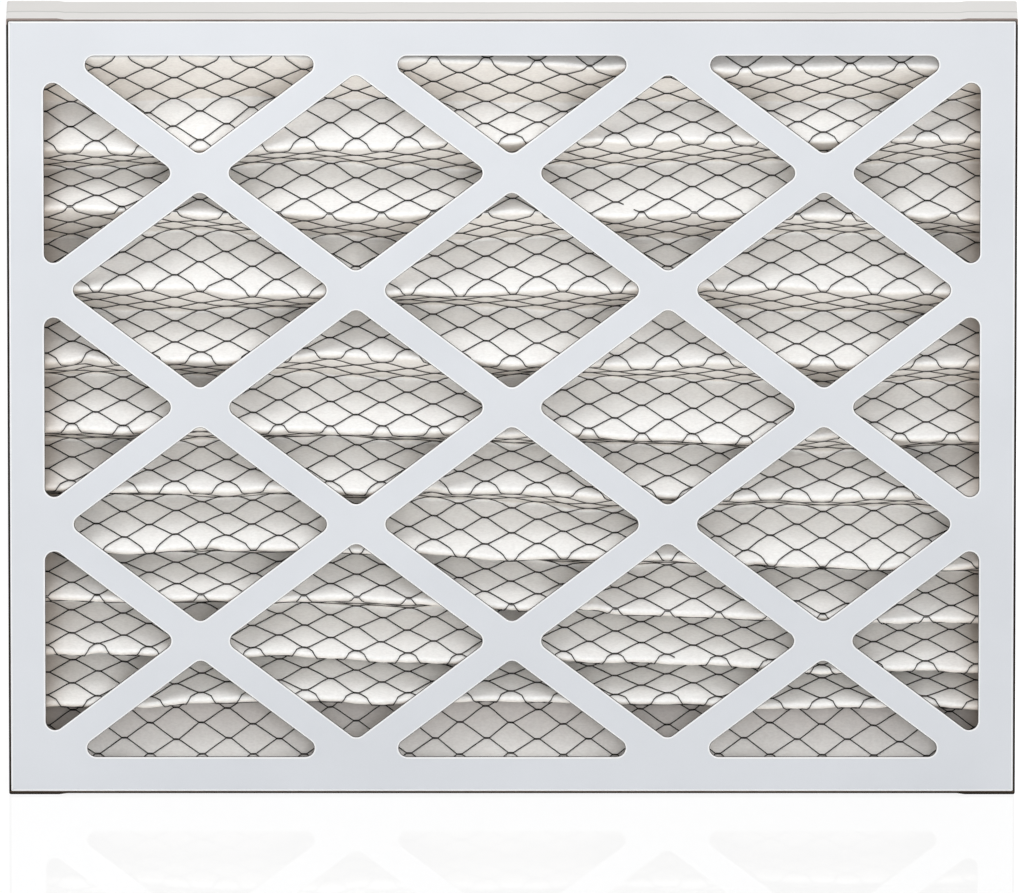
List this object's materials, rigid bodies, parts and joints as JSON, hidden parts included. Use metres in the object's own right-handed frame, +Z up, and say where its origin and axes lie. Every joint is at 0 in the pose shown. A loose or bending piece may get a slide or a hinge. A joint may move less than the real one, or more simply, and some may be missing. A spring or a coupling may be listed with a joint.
{
  "type": "pleated panel air filter",
  "caption": "Flat rectangular air filter standing on its long edge: a pleated white media sheet backed by expanded metal, held between two board faces with diamond windows",
  "frame": {"origin": "middle of the foot, on the surface that the filter stands on, half way through its depth", "axes": "+X along the width, +Y through the depth from the front face with the metal to the rear face, +Z up"},
  "size_m": [0.6224, 0.0444, 0.4953],
  "materials": {
    "white_board": "coated white board, satin",
    "white_media": "needled and bonded white fibre, matt",
    "mesh_metal": "dull expanded steel"
  },
  "bodies": {
    "root": {"rear_tray": "white_board", "front_tray": "white_board", "pleated_media": "white_media", "expanded_metal": "mesh_metal"}
  },
  "joints": []
}
